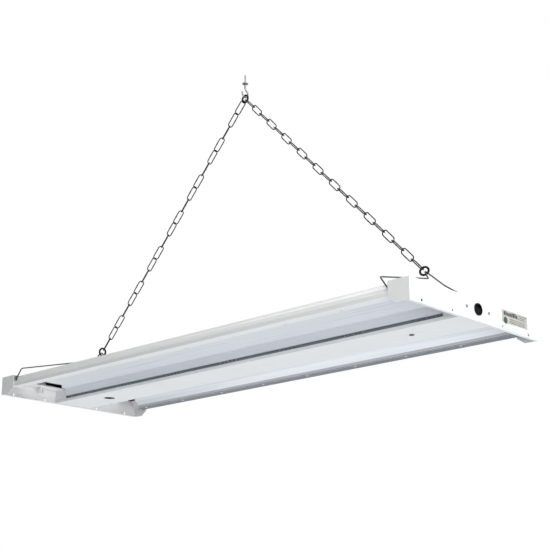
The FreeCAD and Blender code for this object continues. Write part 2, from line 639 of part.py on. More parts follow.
def make_ballast_case():
    """Steel tray, open below, with a screw foot at each end against the housing's top."""
    top = f"({HOUSING_TOP} - steel)"
    thick = "ballast_steel"
    outer = box("ballast_block", ("-ballast_length / 2", "-ballast_width / 2", "ballast_bottom"),
                ("ballast_length", "ballast_width", f"{top} - ballast_bottom"))
    feet = box("ballast_feet", ("-ballast_length / 2 - ballast_foot", "-ballast_width / 2",
                                f"{top} - {thick}"),
               ("ballast_length + 2 * ballast_foot", "ballast_width", thick))
    tools = [
        box("ballast_hollow", (f"-ballast_length / 2 + {thick}", f"-ballast_width / 2 + {thick}",
                               "ballast_bottom - 1"),
            (f"ballast_length - 2 * {thick}", f"ballast_width - 2 * {thick}",
             f"{top} - ballast_bottom + 1 - {thick}")),
        box("terminal_windows", ("-ballast_length / 2 - 1", "-terminal_width / 2 - 0.1",
                                 "terminal_bottom - 0.1"),
            ("ballast_length + 2", "terminal_width + 0.2", "terminal_height + 0.2")),
    ]
    for side in (-1, 1):
        for row in (-1, 1):
            tools.append(rod("foot_hole", "screw_hole_radius", "6",
                             (f"{side} * (ballast_length + ballast_foot) / 2",
                              f"{row} * ballast_screw_offset", f"{top} - 4")))
    return cut("ballast_case", fused("ballast_case_blank", [outer, feet]), tools)


def make_ballast_lid():
    """Plate with turned-up long edges that closes the ballast from below."""
    thick = "ballast_steel"
    half = "(ballast_width / 2)"
    floor = "(ballast_bottom - 0.1)"
    right = [
        (f"{half} + 0.1 + {thick}", f"{floor} - {thick}"),
        (f"{half} + 0.1 + {thick}", f"{floor} + lid_edge"),
        (f"{half} + 0.1", f"{floor} + lid_edge"), (f"{half} + 0.1", floor),
    ]
    left = [(f"-({u})", v) for u, v in reversed(right)]
    return padded("ballast_lid", "YZ_Plane", right + left, "ballast_length")


def make_ballast_board():
    return box("ballast_board", ("-ballast_length / 2 + board_end_gap",
                                 "-ballast_width / 2 + board_side_gap", "board_height"),
               ("ballast_length - 2 * board_end_gap",
                "ballast_width - 2 * board_side_gap", "board_thickness"))


def make_ballast_components():
    """Two chokes, a row of capacitors and a heat sink, all standing on the board."""
    floor = "board_height + board_thickness"
    parts = [box("heat_sink", ("-sink_length / 2", "-sink_offset", floor),
                 ("sink_length", "sink_thickness", "sink_height"))]
    for side in (-1, 1):
        parts.append(box("choke", (f"{side} * choke_place - choke_length / 2", "-choke_width / 2",
                                   floor), ("choke_length", "choke_width", "choke_height")))
        parts.append(rod("film_capacitor", "film_radius", "film_height",
                         (f"{side} * film_place", "film_offset", floor)))
    parts.append(rod("bulk_capacitor", "bulk_radius", "bulk_height", ("0", "bulk_offset", floor)))
    return group("ballast_components", parts)


def make_ballast_terminals():
    """Push-in terminal block in the window at each end of the ballast."""
    blocks = []
    for side in (-1, 1):
        block_x = along(side, "(ballast_length / 2 - terminal_inset)",
                        "(ballast_length / 2 - terminal_inset + terminal_length)")
        body = box("terminal_body", (block_x[0], "-terminal_width / 2", "terminal_bottom"),
                   (block_x[1], "terminal_width", "terminal_height"))
        ports = []
        for port in range(-2, 3):
            port_x = along(side, "(ballast_length / 2 - 3)", "(ballast_length / 2 + 8)")
            ports.append(rod("terminal_port", "lead_radius + 0.1", port_x[1],
                             (port_x[0], f"{port} * terminal_port_pitch",
                              "terminal_bottom + terminal_height / 2"), "x"))
        blocks.append(cut("terminal_" + side_name(side), body, ports))
    return group("ballast_terminals", blocks)


# ---------------------------------------------------------------- switch, bushing and label

def make_power_switch():
    """Round rocker-switch body with a bezel outside the end panel."""
    face = PANEL_FACE
    blank = fused("power_switch_blank", [
        rod("switch_bezel", "switch_bezel_radius", "switch_bezel_height", (face, "0", "switch_height"),
            "x"),
        rod("switch_barrel", "switch_body_radius", "switch_body_depth + 1",
            (f"{face} - switch_body_depth", "0", "switch_height"), "x"),
    ])
    recess = rod("switch_recess", "switch_recess_radius", "switch_recess_depth + 1",
                 (f"{face} + switch_bezel_height - switch_recess_depth", "0", "switch_height"), "x")
    return cut("power_switch", blank, [recess])


def make_switch_rocker():
    """Round rocker with two pads that meet at a crest, tilted to its off position."""
    radius = size("rocker_radius")
    depth = size("switch_recess_depth")
    crest = size("rocker_crest")
    base = -size("rocker_base")
    barrel = Part.makeCylinder(radius, 3 * depth, Vector(-1.5 * depth, 0, 0), Vector(1, 0, 0))
    swing = Part.makeCylinder(radius, 4 * radius, Vector(0, -2 * radius, 0), Vector(0, 1, 0))
    edge = crest - size("rocker_slope")
    reach = radius + 1
    profile = Part.makePolygon([
        Vector(base, 0, -reach), Vector(edge, 0, -reach), Vector(crest, 0, 0),
        Vector(edge, 0, reach), Vector(base, 0, reach), Vector(base, 0, -reach),
    ])
    wedge = Part.Face(profile).extrude(Vector(0, 4 * radius, 0))
    wedge.translate(Vector(0, -2 * radius, 0))
    rocker = barrel.common(swing).common(wedge)
    rocker.rotate(Vector(), Vector(0, 1, 0), -size("rocker_tilt"))
    pivot = size(f"{PANEL_FACE} + switch_bezel_height") - depth / 2
    rocker.translate(Vector(pivot, 0, size("switch_height")))
    return made("switch_rocker", rocker)


def make_switch_terminals():
    """Brass blades behind the switch."""
    blades = [box("switch_blade", (f"{PANEL_FACE} - switch_body_depth - blade_length",
                                   "-blade_width / 2",
                                   f"switch_height + {rise} - blade_thickness / 2"),
                  ("blade_length", "blade_width", "blade_thickness"))
              for rise in ("(-blade_spacing)", "0", "blade_spacing")]
    return group("switch_terminals", blades)


def make_cord_bushing():
    """Snap-in nylon inlet for the mains cord, in the left end panel."""
    face = f"(-{PANEL_FACE})"
    blank = fused("cord_bushing_blank", [
        rod("bushing_flange", "bushing_flange_radius", "bushing_flange_height",
            (f"{face} - bushing_flange_height", "0", "switch_height"), "x"),
        rod("bushing_barrel", "bushing_hole_radius - 0.05", "bushing_depth",
            (f"{face} - 1", "0", "switch_height"), "x"),
    ])
    bore = rod("bushing_bore", "bushing_bore_radius", "bushing_depth + 10",
               (f"{face} - 5", "0", "switch_height"), "x")
    return cut("cord_bushing", blank, [bore])


def make_rating_label():
    return box("rating_label", (PANEL_FACE, "label_start", "label_bottom"),
               ("label_thickness", "label_width", "label_height"))


def make_label_sticker():
    return rod("label_sticker", "sticker_radius", "label_thickness / 2",
               (f"{PANEL_FACE} + label_thickness", "label_start + sticker_offset",
                "label_bottom + sticker_rise"), "x")


# ---------------------------------------------------------------- fasteners

def screw(start, axis, facing, head_gap="0"):
    """Pan-head screw: the head sits at the start point and the shank runs the other way."""
    radius, head = "screw_radius", "screw_head_radius"
    lift = "screw_head_height" if facing > 0 else "(-screw_head_height)"
    place_of = {"x": 0, "z": 2}[axis]
    head_start = list(start)
    shank_start = list(start)
    if facing < 0:
        head_start[place_of] = f"{start[place_of]} + {lift} - {head_gap}"
    else:
        shank_start[place_of] = f"{start[place_of]} - screw_length"
        head_start[place_of] = f"{start[place_of]} + {head_gap}"
    return fused("screw", [
        rod("screw_head", head, "screw_head_height", tuple(head_start), axis),
        rod("screw_shank", radius, "screw_length", tuple(shank_start), axis),
    ])


def make_cap_screws(side):
    """Two screws through the end panel and four through the top flange."""
    screws = []
    face = f"{side} * {PANEL_FACE}"
    for row in (-1, 1):
        screws.append(screw((face, f"{row} * cap_screw_offset", "cap_screw_height"), "x", side))
    for offset in top_screw_rows():
        screws.append(screw((f"{side} * ({PANEL_FACE} - top_screw_inset)", offset, "cap_height"),
                            "z", 1))
    return group(side_name(side) + "_cap_screws", screws)


def make_ballast_screws():
    """Four screws that hold the ballast's feet to the housing's top."""
    screws = []
    for side in (-1, 1):
        for row in (-1, 1):
            screws.append(screw((f"{side} * (ballast_length + ballast_foot) / 2",
                                 f"{row} * ballast_screw_offset",
                                 f"{HOUSING_TOP} - steel - ballast_steel"), "z", -1))
    return group("ballast_screws", screws)


def make_ground_screw():
    return group("ground_screw", [screw(("-ground_place", "0", f"{HOUSING_TOP} - steel"), "z", -1)])


def make_rivets(row):
    """Pop rivets that join a reflector's flange to the housing's lip."""
    rivets = []
    for count in range(-4, 4):
        spot = (rivet_place(count), f"{row} * rivet_line")
        rivets.append(fused("rivet", [
            rod("rivet_head", "rivet_head_radius", "rivet_head_height",
                spot + ("lip_height - rivet_head_height",)),
            rod("rivet_shank", "rivet_radius", "steel + reflector_steel + 0.1 + 0.2",
                spot + ("lip_height - 0.1",)),
            rod("rivet_tail", "rivet_tail", "1",
                spot + (f"{FLANGE_BOTTOM} + reflector_steel",)),
        ]))
    return group(row_name(row) + "_reflector_rivets", rivets)


# ---------------------------------------------------------------- hangers, rings, chains, hook

def hanger_point(side, across_place, reach):
    """A point of the leaning hanger's plane, from its place across and its reach up the plane."""
    lean = math.radians(size("hanger_lean"))
    return Vector(side * (size("hanger_base_place") - reach * math.sin(lean)), across_place,
                  size("hanger_base_height") + reach * math.cos(lean))


def make_hanger(side):
    """Bent wire: a foot in each shoulder of the housing and a small peak that carries the ring."""
    lean = math.radians(size("hanger_lean"))
    foot = size("hanger_foot_height - hanger_base_height") / math.cos(lean)
    leg = size("hanger_leg")
    tip = size("hanger_leg - hanger_foot_reach")
    shoulder = size("hanger_leg - hanger_shoulder_inset")
    outline = [
        (-tip, foot), (-leg, foot), (-shoulder, size("hanger_shoulder")),
        (size("hanger_dip_place"), size("hanger_dip")),
        (size("hanger_peak_place"), size("hanger_peak")),
        (size("hanger_far_place"), size("hanger_far")),
        (shoulder, size("hanger_shoulder")), (leg, foot), (tip, foot),
    ]
    foot_bend, shoulder_bend = size("hanger_foot_bend"), size("hanger_shoulder_bend")
    bends = [foot_bend, shoulder_bend, size("hanger_dip_bend"), size("hanger_peak_bend"),
             size("hanger_far_bend"), shoulder_bend, foot_bend]
    points = [hanger_point(side, across_place, reach) for across_place, reach in outline]
    return made(side_name(side) + "_hanger",
                tube(rounded_path(points, bends), size("hanger_wire_radius")))


def ring_contact(side):
    """Centre of the ring's wire where the hanger's peak rests on it."""
    return hanger_point(side, 0, size("hanger_contact"))


def apex():
    return Vector(0, 0, size("apex_height"))


def chain_direction(side):
    return (apex() - ring_contact(side)).normalize()


def ring_normal(side, turn):
    """Direction square to a ring or link that is turned about the chain's line."""
    along_chain = chain_direction(side)
    crosswise = Vector(0, 1, 0)
    angle = math.radians(turn)
    return crosswise * math.cos(angle) + along_chain.cross(crosswise) * (-side * math.sin(angle))


def make_ring(name, centre, normal):
    ring = doc.addObject("Part::Torus", name)
    ring.setExpression("Radius1", linked("ring_radius"))
    ring.setExpression("Radius2", linked("ring_wire_radius"))
    ring.Placement = FreeCAD.Placement(centre, FreeCAD.Rotation(Vector(0, 0, 1), normal))
    return ring


def make_lower_ring(side):
    centre = ring_contact(side) + chain_direction(side) * size("ring_radius")
    return make_ring(side_name(side) + "_ring", centre, ring_normal(side, -side * size("ring_turn")))


def make_top_ring():
    return make_ring("top_ring", apex(), Vector(0, 1, 0))


def chain_link(centre, lengthwise, normal, inner_length):
    """One welded link: two straight sides joined by two half-round ends."""
    wire = size("link_wire_radius")
    bend = size("link_width") / 2 - wire
    half = inner_length / 2 + wire - bend
    sideways = normal.cross(lengthwise)

    def at(step, offset):
        return centre + lengthwise * step + sideways * offset

    path = Part.Wire([
        Part.LineSegment(at(-half, bend), at(half, bend)).toShape(),
        Part.Arc(at(half, bend), at(half + bend, 0), at(half, -bend)).toShape(),
        Part.LineSegment(at(half, -bend), at(-half, -bend)).toShape(),
        Part.Arc(at(-half, -bend), at(-half - bend, 0), at(-half, bend)).toShape(),
    ])
    section = Part.Wire(Part.Circle(at(-half, bend), lengthwise, wire).toShape())
    return path.makePipeShell([section], True, False)


def make_chain(side, first_turn, turn_per_link):
    """A taut run of welded links between a lower ring and the top ring."""
    lengthwise = chain_direction(side)
    count = int(size("link_count"))
    gap = size("link_gap")
    start = ring_contact(side) + lengthwise * size(
        "2 * ring_radius - ring_wire_radius - hook_gap")
    finish = apex() - lengthwise * size("ring_radius - ring_wire_radius - hook_gap")
    span = (finish - start).Length
    inner_length = (span + (count - 1) * gap) / count
    links = []
    for index in range(count):
        centre = start + lengthwise * (inner_length / 2 + index * (inner_length - gap))
        normal = ring_normal(side, first_turn + index * turn_per_link)
        links.append(chain_link(centre, lengthwise, normal, inner_length))
    return made(side_name(side) + "_chain", Part.makeCompound(links))


def make_ceiling_hook():
    """Screw hook: threaded shank, stop collar and a round hook that the top ring sits in."""
    wire = size("hook_wire_radius")
    bend = size("hook_bend")
    neck = size("hook_neck_bend")
    seat = size("apex_height + ring_radius - ring_wire_radius - hook_gap") - wire
    centre = Vector(0, 0, seat + bend)
    rise = math.sqrt((neck + bend) ** 2 - neck ** 2)
    neck_start = Vector(0, 0, centre.z + rise)
    neck_centre = neck_start + Vector(0, neck, 0)
    ceiling = neck_start.z + size("hook_shank")

    def on_circle(middle, radius, angle):
        return middle + Vector(0, math.cos(angle) * radius, math.sin(angle) * radius)

    join = math.acos(neck / (neck + bend))
    tip = math.radians(-195)
    path = Part.Wire([
        Part.LineSegment(Vector(0, 0, ceiling - 1), neck_start).toShape(),
        Part.Arc(neck_start, on_circle(neck_centre, neck, math.pi + join / 2),
                 on_circle(neck_centre, neck, math.pi + join)).toShape(),
        Part.Arc(on_circle(centre, bend, join), on_circle(centre, bend, (join + tip) / 2),
                 on_circle(centre, bend, tip)).toShape(),
    ])
    hook = tube(path, wire)
    collar = Part.makeCylinder(size("hook_collar_radius"), size("hook_collar_height"),
                               Vector(0, 0, ceiling - size("hook_collar_height")))
    return made("ceiling_hook", hook.fuse([collar, screw_thread(ceiling)]).removeSplitter()), ceiling


def screw_thread(ceiling):
    """Wood-screw shank as a turned profile: ridges that end in a point."""
    radius = size("hook_wire_radius")
    pitch = size("hook_thread_pitch")
    root = radius - size("hook_thread_depth")
    length = size("hook_screw_length")
    ridges = int((length - 5) / pitch)
    outline = [Vector(0, 0, ceiling - 0.5), Vector(radius, 0, ceiling - 0.5)]
    for ridge in range(ridges):
        level = ceiling + 1 + ridge * pitch
        outline.append(Vector(root, 0, level))
        outline.append(Vector(radius, 0, level + pitch * 0.6))
    outline.append(Vector(root, 0, ceiling + 1 + ridges * pitch))
    outline.append(Vector(0, 0, ceiling + length))
    outline.append(outline[0])
    return Part.Face(Part.makePolygon(outline)).revolve(Vector(), Vector(0, 0, 1), 360)


# ---------------------------------------------------------------- wiring

def make_lamp_leads(side, row):
    """Two insulated wires from the ballast's end block, along the channel, to one lampholder."""
    height = size("lead_height")
    run_in = Vector(side * size("lead_run_in"), 0, 0)
    fan_x = side * size("ballast_length / 2 + lead_fan")
    holder_side = row * size("lamp_offset - holder_half_width - 0.1")
    wires = []
    for pin in (-1, 1):
        lane = row * size(f"lead_channel_offset + {pin} * lead_spacing")
        turn_x = side * size(f"lamp_face + holder_thickness / 2 - {pin} * lead_spacing / 2")
        port = row * size(f"terminal_port_pitch * (3 + {pin}) / 2")
        entry = Vector(side * size("ballast_length / 2 + 6"), port,
                       size("terminal_bottom + terminal_height / 2"))
        route = [
            entry, entry + run_in, Vector(fan_x, lane, height), Vector(turn_x, lane, height),
            Vector(turn_x, holder_side, height),
        ]
        bends = [size("lead_bend"), size("lead_bend"), size("lead_last_bend")]
        wires.append(tube(rounded_path(route, bends), size("lead_radius")))
    return made(f"{row_name(row)}_{side_name(side)}_leads", Part.makeCompound(wires))


def make_mains_leads():
    """Live and neutral from the cord bushing, past the ballast's front side, to the switch."""
    straight = size("mains_straight")
    height = size("mains_height")
    tail = Vector(size("mains_tail"), 0, 0)
    inlet_x = -size("fixture_length / 2 - bushing_depth - 2")
    blade_x = size("fixture_length / 2 - switch_body_depth - blade_length - fit_gap")
    wires = []
    for count, blade in enumerate((-1, 1)):
        lane = -size(f"mains_lane + {count} * mains_lane_pitch")
        start = Vector(inlet_x, -blade * size("lead_spacing / 2"), size("switch_height"))
        finish = Vector(blade_x, 0, size(f"switch_height + {blade} * blade_spacing"))
        route = [start, start + tail, Vector(-straight, lane, height),
                 Vector(straight, lane, height), finish - tail, finish]
        bends = [size("mains_bend")] * 4
        wires.append(tube(rounded_path(route, bends), size("lead_radius")))
    return made("mains_leads", Part.makeCompound(wires))


def make_ground_lead():
    """Green wire from the cord bushing to the ground screw."""
    inlet_x = -size("fixture_length / 2 - bushing_depth - 2")
    start = Vector(inlet_x, 0, size("switch_height + lead_spacing + 0.4"))
    finish = Vector(-size("ground_place + screw_head_radius + 0.4"), size("lead_spacing"),
                    size(f"{HOUSING_TOP} - steel - lead_radius - 0.3"))
    lane = size("knockout_radius + lead_spacing")
    height = size("lead_height")
    route = [start, start + Vector(size("mains_tail"), 0, 0),
             Vector(-size("mains_straight"), lane, height),
             finish - Vector(size("mains_tail"), 0, size("lead_spacing")), finish]
    bends = [size("mains_bend")] * 3
    return made("ground_lead", tube(rounded_path(route, bends), size("lead_radius")))


# ---------------------------------------------------------------- assembly

subparts = [
    make_housing(), make_reflector(-1), make_reflector(1), make_ballast_cover(),
    make_cover_catch(), make_cover_fastener(), make_ballast_case(), make_ballast_lid(),
    make_ballast_board(), make_ballast_components(), make_ballast_terminals(),
    make_ballast_screws(), make_power_switch(), make_switch_rocker(), make_switch_terminals(),
    make_cord_bushing(), make_rating_label(), make_label_sticker(), make_ground_screw(),
    make_ground_lead(), make_mains_leads(), make_rivets(-1), make_rivets(1), make_top_ring(),
    make_chain(-1, 134, 60), make_chain(1, 90, 90),
]
for end in (-1, 1):
    subparts += [make_end_cap(end), make_end_bracket(end), make_cap_screws(end),
                 make_hanger(end), make_lower_ring(end)]
    for trough in (-1, 1):
        subparts += [make_holder_bracket(end, trough), make_lampholder(end, trough),
                     make_rotor(end, trough), make_contacts(end, trough),
                     make_lamp_leads(end, trough)]
hook, hanging_height = make_ceiling_hook()
subparts.append(hook)
doc.recompute()

for item in doc.Objects:
    if "Invalid" in item.State or "Error" in item.State:
        raise RuntimeError(f"{item.Label} did not compute: {item.State}")

os.makedirs("parts", exist_ok=True)
for item in subparts:
    shape = item.Shape.copy()
    if shape.isNull() or not shape.isValid():
        raise RuntimeError(f"{item.Label} has no valid shape")
    item.Placement = FreeCAD.Placement(Vector(0, 0, -hanging_height), FreeCAD.Rotation()).multiply(
        item.Placement)
    item.Shape.exportStep(f"parts/{item.Label}.step")
print("nodes:", len(subparts), "hanging height:", round(hanging_height, 3))
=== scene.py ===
import json
import math
import random

import bmesh
import bpy
import numpy as np
from mathutils import Matrix, Vector


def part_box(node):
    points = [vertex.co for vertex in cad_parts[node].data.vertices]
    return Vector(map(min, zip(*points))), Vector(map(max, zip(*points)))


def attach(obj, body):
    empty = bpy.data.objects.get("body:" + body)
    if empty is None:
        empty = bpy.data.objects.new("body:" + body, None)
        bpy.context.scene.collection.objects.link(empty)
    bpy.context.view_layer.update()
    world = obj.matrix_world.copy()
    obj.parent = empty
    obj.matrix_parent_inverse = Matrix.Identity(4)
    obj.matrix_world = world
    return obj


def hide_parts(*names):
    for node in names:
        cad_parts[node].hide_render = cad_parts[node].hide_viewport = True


# Hanging two-tube grow lamp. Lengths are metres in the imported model's frame: X along the lamp,
# Y across it, Z up, with the origin where the ceiling hook meets the ceiling.

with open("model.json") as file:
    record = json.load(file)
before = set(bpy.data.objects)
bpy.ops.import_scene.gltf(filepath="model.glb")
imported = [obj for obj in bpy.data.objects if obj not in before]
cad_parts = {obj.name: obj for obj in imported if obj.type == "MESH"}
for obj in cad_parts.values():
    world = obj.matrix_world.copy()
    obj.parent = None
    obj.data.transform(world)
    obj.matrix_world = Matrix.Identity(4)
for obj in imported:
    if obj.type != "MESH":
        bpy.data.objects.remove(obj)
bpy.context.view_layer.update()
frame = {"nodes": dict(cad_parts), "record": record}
nodes = frame["nodes"]
MM = 0.001
ENDS = ("left", "right")
ROWS = ("front", "rear")
dice = random.Random(7)


# ---------------------------------------------------------------- materials

class Surface:
    """A principled node material and short ways to add texture nodes to it."""

    def __init__(self, name, **sockets):
        self.material = bpy.data.materials.new(name)
        self.material.use_nodes = True
        self.tree = self.material.node_tree
        self.shader = self.tree.nodes["Principled BSDF"]
        self.place = self.node("ShaderNodeTexCoord").outputs["Object"]
        self.normal = None
        self.set(**sockets)

    def node(self, kind, inputs=None, **settings):
        """A new node; each of its inputs is a constant or a socket to link."""
        made = self.tree.nodes.new(kind)
        for key, value in settings.items():
            setattr(made, key, value)
        for key, value in (inputs or {}).items():
            if isinstance(value, bpy.types.NodeSocket):
                self.tree.links.new(value, made.inputs[key])
            else:
                made.inputs[key].default_value = value
        return made

    def set(self, **sockets):
        """Sets or links sockets of the shader; a name's underscores stand for spaces."""
        for name, value in sockets.items():
            socket = self.shader.inputs[name.replace("_", " ")]
            if isinstance(value, bpy.types.NodeSocket):
                self.tree.links.new(value, socket)
            elif isinstance(value, tuple) and len(value) == 3:
                socket.default_value = (*value, 1.0)
            else:
                socket.default_value = value
        return self

    def stretched(self, scale):
        """The object's coordinates, stretched, so that a texture forms streaks."""
        return self.node("ShaderNodeMapping", {"Vector": self.place, "Scale": scale}).outputs[0]

    def noise(self, grain, detail=3.0, roughness=0.5, place=None):
        """Noise whose features are about grain metres wide."""
        return self.node("ShaderNodeTexNoise", {
            "Vector": place or self.place, "Scale": 1.0 / grain, "Detail": detail,
            "Roughness": roughness}).outputs["Fac"]

    def specks(self, grain, place):
        """Distance to the nearest of scattered points about grain metres apart."""
        return self.node("ShaderNodeTexVoronoi", {
            "Vector": place, "Scale": 1.0 / grain}).outputs["Distance"]

    def span(self, source, low, high, out_low, out_high):
        """source, from low to high, as a number from out_low to out_high."""
        return self.node("ShaderNodeMapRange", {
            "Value": source, "From Min": low, "From Max": high, "To Min": out_low,
            "To Max": out_high}).outputs["Result"]

    def mixed(self, factor, first, second):
        """Colour from first to second as factor goes from 0 to 1."""
        made = self.node("ShaderNodeMix", data_type="RGBA")
        self.tree.links.new(factor, made.inputs["Factor"])
        for socket, value in ((made.inputs[6], first), (made.inputs[7], second)):
            if isinstance(value, bpy.types.NodeSocket):
                self.tree.links.new(value, socket)
            else:
                socket.default_value = (*value, 1.0)
        return made.outputs[2]

    def crevice(self, reach):
        """Openness of the surface: 1 in the open and lower towards corners and contacts."""
        return self.node("ShaderNodeAmbientOcclusion", {"Distance": reach}, samples=8,
                         only_local=False).outputs["AO"]

    def bump(self, height, depth):
        """Adds a relief of depth metres on top of the relief so far."""
        inputs = {"Height": height, "Distance": depth}
        if self.normal is not None:
            inputs["Normal"] = self.normal
        self.normal = self.node("ShaderNodeBump", inputs).outputs["Normal"]
        return self.set(Normal=self.normal)


def powder_coat(name, colour, gloss, dirt=0.035):
    """Baked enamel: orange peel, a fine powder grain and faint handling marks."""
    darker = tuple(c * (1 - dirt) for c in colour)
    made = Surface(name, IOR=1.48)
    cloud = made.span(made.noise(0.16, 4.0), 0.35, 0.68, 0.0, 1.0)
    smudge = made.span(made.noise(0.035, 5.0, 0.65), 0.56, 0.72, 0.0, 0.6)
    painted = made.mixed(smudge, made.mixed(cloud, colour, darker),
                         tuple(c * (1 - 1.6 * dirt) for c in colour))
    made.set(Base_Color=painted)
    made.set(Roughness=made.span(made.noise(0.02, 4.0), 0.3, 0.7, gloss - 0.05, gloss + 0.07))
    made.bump(made.noise(0.0028, 2.0), 0.00003)
    made.bump(made.noise(0.0007, 1.0), 0.000008)
    return made.material


def reflector_paint():
    """Smoother, cooler enamel on the trough sheets, with faint lengthwise roll marks."""
    made = Surface("reflector_paint", IOR=1.5, Coat_Weight=0.25, Coat_Roughness=0.22)
    roll = made.noise(0.004, 3.0, place=made.stretched((0.012, 1.0, 1.0)))
    cloud = made.span(made.noise(0.22, 3.0), 0.35, 0.65, 0.0, 1.0)
    made.set(Base_Color=made.mixed(cloud, (0.80, 0.815, 0.85), (0.775, 0.795, 0.84)))
    made.set(Roughness=made.span(roll, 0.3, 0.7, 0.26, 0.36))
    made.bump(roll, 0.000004)
    made.bump(made.noise(0.0022, 2.0), 0.000006)
    return made.material


def plated_wire(name, bright, dull, rough, streak):
    """Plated metal, from bright to dull in patches, with drawn streaks and painted shade darkening
    its crevices.
    """
    made = Surface(name, Metallic=1.0)
    patch = made.span(made.noise(0.006, 4.0, 0.6), 0.35, 0.65, 0.0, 1.0)
    open_colour = made.mixed(patch, bright, dull)
    # Painted shade: much darker where ambient occlusion finds corners and contacts.
    crevice_shade = made.span(made.crevice(0.004), 0.35, 0.95, 1.0, 0.0)
    made.set(Base_Color=made.mixed(crevice_shade, open_colour, tuple(c * 0.25 for c in dull)))
    made.set(Roughness=made.span(made.noise(0.0015, 3.0), 0.3, 0.7, rough - 0.07, rough + 0.1))
    made.bump(made.noise(streak, 4.0, 0.6), 0.00004)
    return made.material


def inner_painted_shade():
    """Painted shade: near-black on the hidden side of the sheets, where little light reaches, in
    soft mottled patches.
    """
    made = Surface("inner_painted_shade", IOR=1.45, Specular_IOR_Level=0.2)
    thin = made.span(made.noise(0.03, 5.0, 0.6), 0.4, 0.7, 0.0, 1.0)
    made.set(Base_Color=made.mixed(thin, (0.016, 0.017, 0.018), (0.03, 0.031, 0.033)))
    made.set(Roughness=made.span(thin, 0.0, 1.0, 0.6, 0.8))
    made.bump(made.noise(0.0012, 2.0), 0.00003)
    return made.material


def black_enamel():
    """Dull black enamel, worn thin in small patches."""
    made = Surface("black_enamel", IOR=1.5, Specular_IOR_Level=0.12)
    worn = made.span(made.noise(0.0025, 5.0, 0.7), 0.62, 0.74, 0.0, 1.0)
    made.set(Base_Color=made.mixed(worn, (0.008, 0.008, 0.008), (0.035, 0.033, 0.031)))
    made.set(Roughness=made.span(worn, 0.0, 1.0, 0.24, 0.5))
    made.bump(made.noise(0.0012, 2.0), 0.00003)
    return made.material


def moulded(name, colour, rough, grain=0.0006, **sockets):
    """Injection-moulded plastic: spark-eroded texture and slight flow marks."""
    made = Surface(name, IOR=1.5, **sockets)
    flow = made.span(made.noise(0.012, 4.0), 0.35, 0.65, 0.0, 1.0)
    made.set(Base_Color=made.mixed(flow, colour, tuple(c * 0.93 for c in colour)))
    made.set(Roughness=made.span(made.noise(0.003, 3.0), 0.3, 0.7, rough - 0.05, rough + 0.06))
    made.bump(made.noise(grain, 2.0), 0.000025)
    return made.material


def plated_fastener():
    """Dulled zinc with a faint bluish passivation."""
    made = Surface("plated_fastener", Metallic=1.0)
    patch = made.span(made.noise(0.0018, 3.0), 0.35, 0.65, 0.0, 1.0)
    made.set(Base_Color=made.mixed(patch, (0.42, 0.43, 0.45), (0.30, 0.31, 0.33)))
    made.set(Roughness=made.span(made.noise(0.0008, 3.0), 0.3, 0.7, 0.26, 0.42))
    made.bump(made.noise(0.0004, 2.0), 0.00001)
    return made.material


def rivet_metal():
    """Bare aluminium."""
    made = Surface("rivet_metal", Metallic=1.0)
    patch = made.span(made.noise(0.0012, 3.0), 0.35, 0.65, 0.0, 1.0)
    made.set(Base_Color=made.mixed(patch, (0.80, 0.80, 0.81), (0.66, 0.66, 0.68)))
    made.set(Roughness=made.span(patch, 0.0, 1.0, 0.3, 0.45))
    made.bump(made.noise(0.0005, 2.0), 0.00001)
    return made.material


def brass():
    """Spring brass with drawn streaks along its height."""
    made = Surface("contact_brass", Metallic=1.0)
    patch = made.span(made.noise(0.002, 4.0), 0.35, 0.65, 0.0, 1.0)
    made.set(Base_Color=made.mixed(patch, (0.78, 0.58, 0.25), (0.60, 0.42, 0.18)))
    made.set(Roughness=made.span(patch, 0.0, 1.0, 0.25, 0.42))
    made.bump(made.noise(0.0006, 3.0, place=made.stretched((1.0, 1.0, 0.1))), 0.00002)
    return made.material


def circuit_board():
    """Solder mask with a lattice of lighter tracks."""
    made = Surface("circuit_board", IOR=1.5)
    track = made.span(made.specks(0.006, made.stretched((0.4, 1.0, 1.0))), 0.38, 0.42, 0.0, 1.0)
    made.set(Base_Color=made.mixed(track, (0.02, 0.10, 0.035), (0.045, 0.20, 0.06)), Roughness=0.35)
    made.bump(track, 0.00003)
    return made.material


def insulation(name, colour):
    """Wire insulation with scuffs."""
    made = Surface(name, IOR=1.5)
    mark = made.span(made.noise(0.004, 4.0), 0.4, 0.7, 0.0, 1.0)
    made.set(Base_Color=made.mixed(mark, colour, tuple(c * 0.85 for c in colour)))
    made.set(Roughness=made.span(made.noise(0.002, 3.0), 0.3, 0.7, 0.38, 0.55))
    made.bump(made.noise(0.0009, 2.0), 0.00003)
    return made.material


def label_film():
    """Aged polyester film: warm white with a soft mottle."""
    made = Surface("label_film", IOR=1.45, Coat_Weight=0.3, Coat_Roughness=0.3)
    mottle = made.span(made.noise(0.012, 5.0, 0.6), 0.35, 0.65, 0.0, 1.0)
    made.set(Base_Color=made.mixed(mottle, (0.52, 0.495, 0.44), (0.44, 0.42, 0.37)))
    made.set(Roughness=made.span(mottle, 0.0, 1.0, 0.4, 0.52))
    made.bump(made.noise(0.0008, 2.0), 0.00001)
    return made.material


def ink(name, colour):
    """Printed marks with uneven coverage."""
    made = Surface(name, IOR=1.45)
    worn = made.span(made.noise(0.0012, 4.0, 0.7), 0.55, 0.75, 0.0, 1.0)
    made.set(Base_Color=made.mixed(worn, colour, tuple(min(1.0, c * 1.6 + 0.03) for c in colour)))
    made.set(Roughness=made.span(worn, 0.0, 1.0, 0.45, 0.6))
    return made.material


